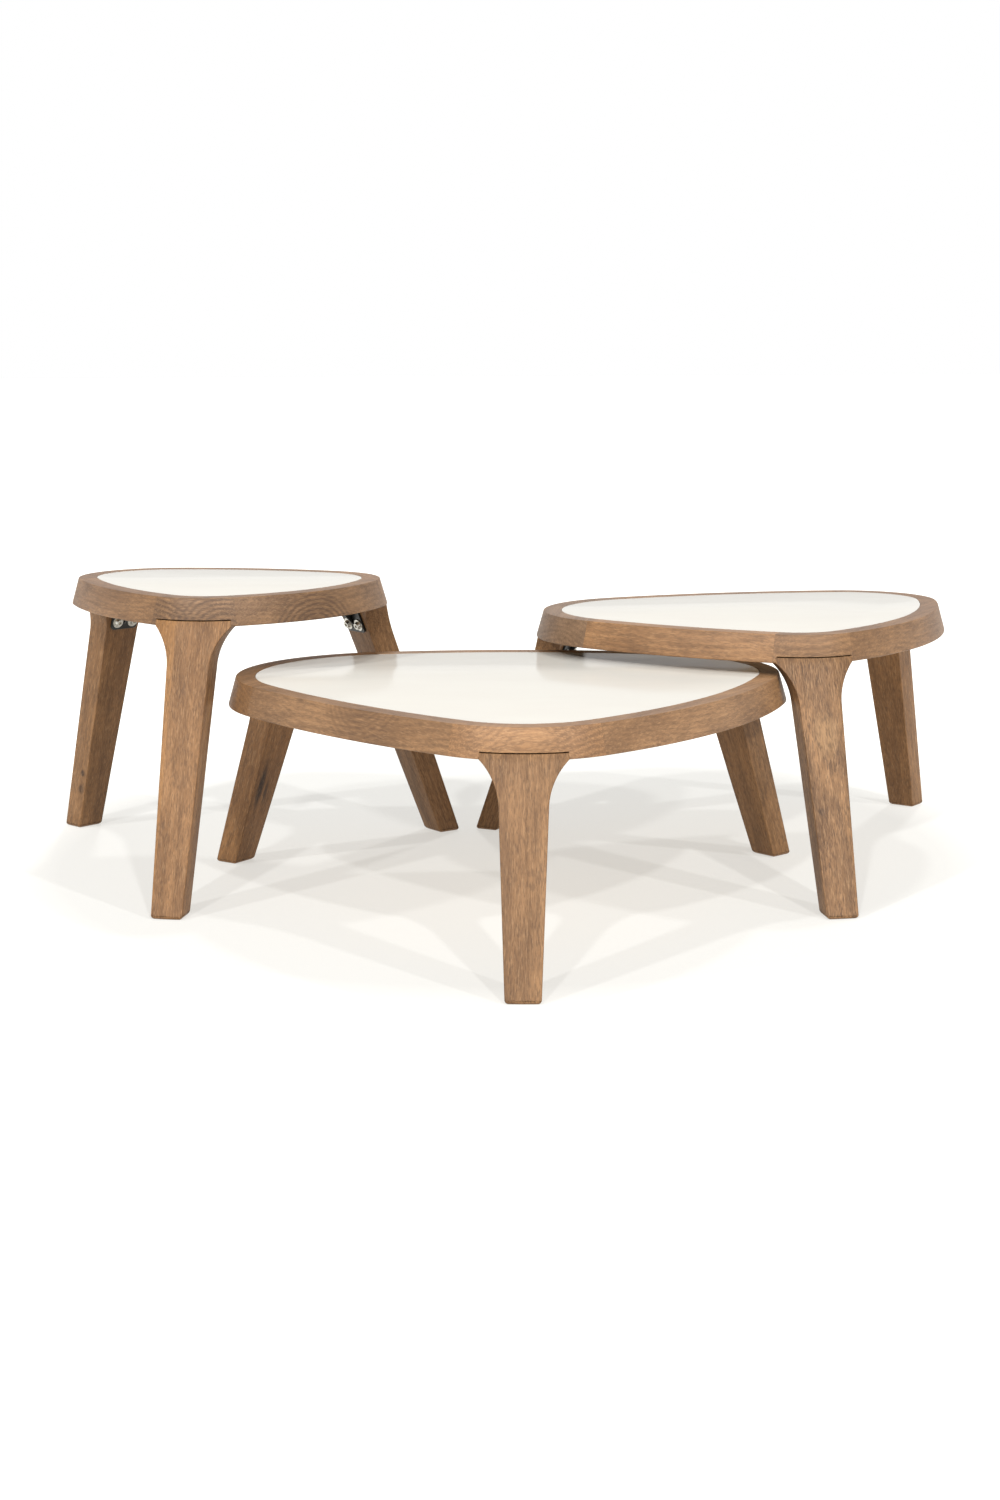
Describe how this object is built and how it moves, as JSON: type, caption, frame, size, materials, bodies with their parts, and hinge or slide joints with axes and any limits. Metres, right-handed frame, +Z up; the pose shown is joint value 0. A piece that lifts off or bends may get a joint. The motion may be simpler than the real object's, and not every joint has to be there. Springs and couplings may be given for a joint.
{
  "type": "nesting tables",
  "caption": "Set of low nesting coffee tables with rounded three-cornered tops, white stone inlay, wooden rims and splayed wooden legs.",
  "frame": {"origin": "centre of the whole set's footprint on the floor", "axes": "+X to the right of the set seen from the front, +Y to the back, +Z up"},
  "size_m": [1.5216, 1.2725, 0.451],
  "materials": {
    "rim_wood": "oiled, weathered mid brown, satin",
    "leg_wood": "oiled, fine open pores, satin",
    "stone": "honed, cream white, semi-gloss",
    "board": "plain board, unfinished",
    "black_steel": "black, satin",
    "zinc": "zinc plated",
    "glide": "matt"
  },
  "bodies": {
    "low_table": {"low_rim_corner_front": "rim_wood", "low_rim_corner_right": "rim_wood", "low_rim_corner_left": "rim_wood", "low_rim_side_front_right": "rim_wood", "low_rim_side_back": "rim_wood", "low_rim_side_front_left": "rim_wood", "low_top_panel": "stone", "low_sub_top": "board", "low_leg_front": "leg_wood", "low_leg_right": "leg_wood", "low_leg_left": "leg_wood", "low_bracket_front": "black_steel", "low_bracket_right": "black_steel", "low_bracket_left": "black_steel", "low_leg_bolts": "zinc", "low_bolt_washers": "zinc", "low_leg_inserts": "zinc", "low_bracket_screws": "zinc", "low_glides": "glide"},
    "mid_table": {"mid_rim_corner_front": "rim_wood", "mid_rim_corner_right": "rim_wood", "mid_rim_corner_left": "rim_wood", "mid_rim_side_front_right": "rim_wood", "mid_rim_side_back": "rim_wood", "mid_rim_side_front_left": "rim_wood", "mid_top_panel": "stone", "mid_sub_top": "board", "mid_leg_front": "leg_wood", "mid_leg_right": "leg_wood", "mid_leg_left": "leg_wood", "mid_bracket_front": "black_steel", "mid_bracket_right": "black_steel", "mid_bracket_left": "black_steel", "mid_leg_bolts": "zinc", "mid_bolt_washers": "zinc", "mid_leg_inserts": "zinc", "mid_bracket_screws": "zinc", "mid_glides": "glide"},
    "tall_table": {"tall_rim_corner_front": "rim_wood", "tall_rim_corner_right": "rim_wood", "tall_rim_corner_left": "rim_wood", "tall_rim_side_front_right": "rim_wood", "tall_rim_side_back": "rim_wood", "tall_rim_side_front_left": "rim_wood", "tall_top_panel": "stone", "tall_sub_top": "board", "tall_leg_front": "leg_wood", "tall_leg_right": "leg_wood", "tall_leg_left": "leg_wood", "tall_bracket_front": "black_steel", "tall_bracket_right": "black_steel", "tall_bracket_left": "black_steel", "tall_leg_bolts": "zinc", "tall_bolt_washers": "zinc", "tall_leg_inserts": "zinc", "tall_bracket_screws": "zinc", "tall_glides": "glide"}
  },
  "joints": [
    {"name": "mid_table_slide", "type": "slide", "parent": "low_table", "child": "mid_table", "axis": [1, 0, 0], "range_m": [0, 0.4]},
    {"name": "tall_table_slide", "type": "slide", "parent": "low_table", "child": "tall_table", "axis": [-1, 0, 0], "range_m": [0, 0.4]}
  ]
}
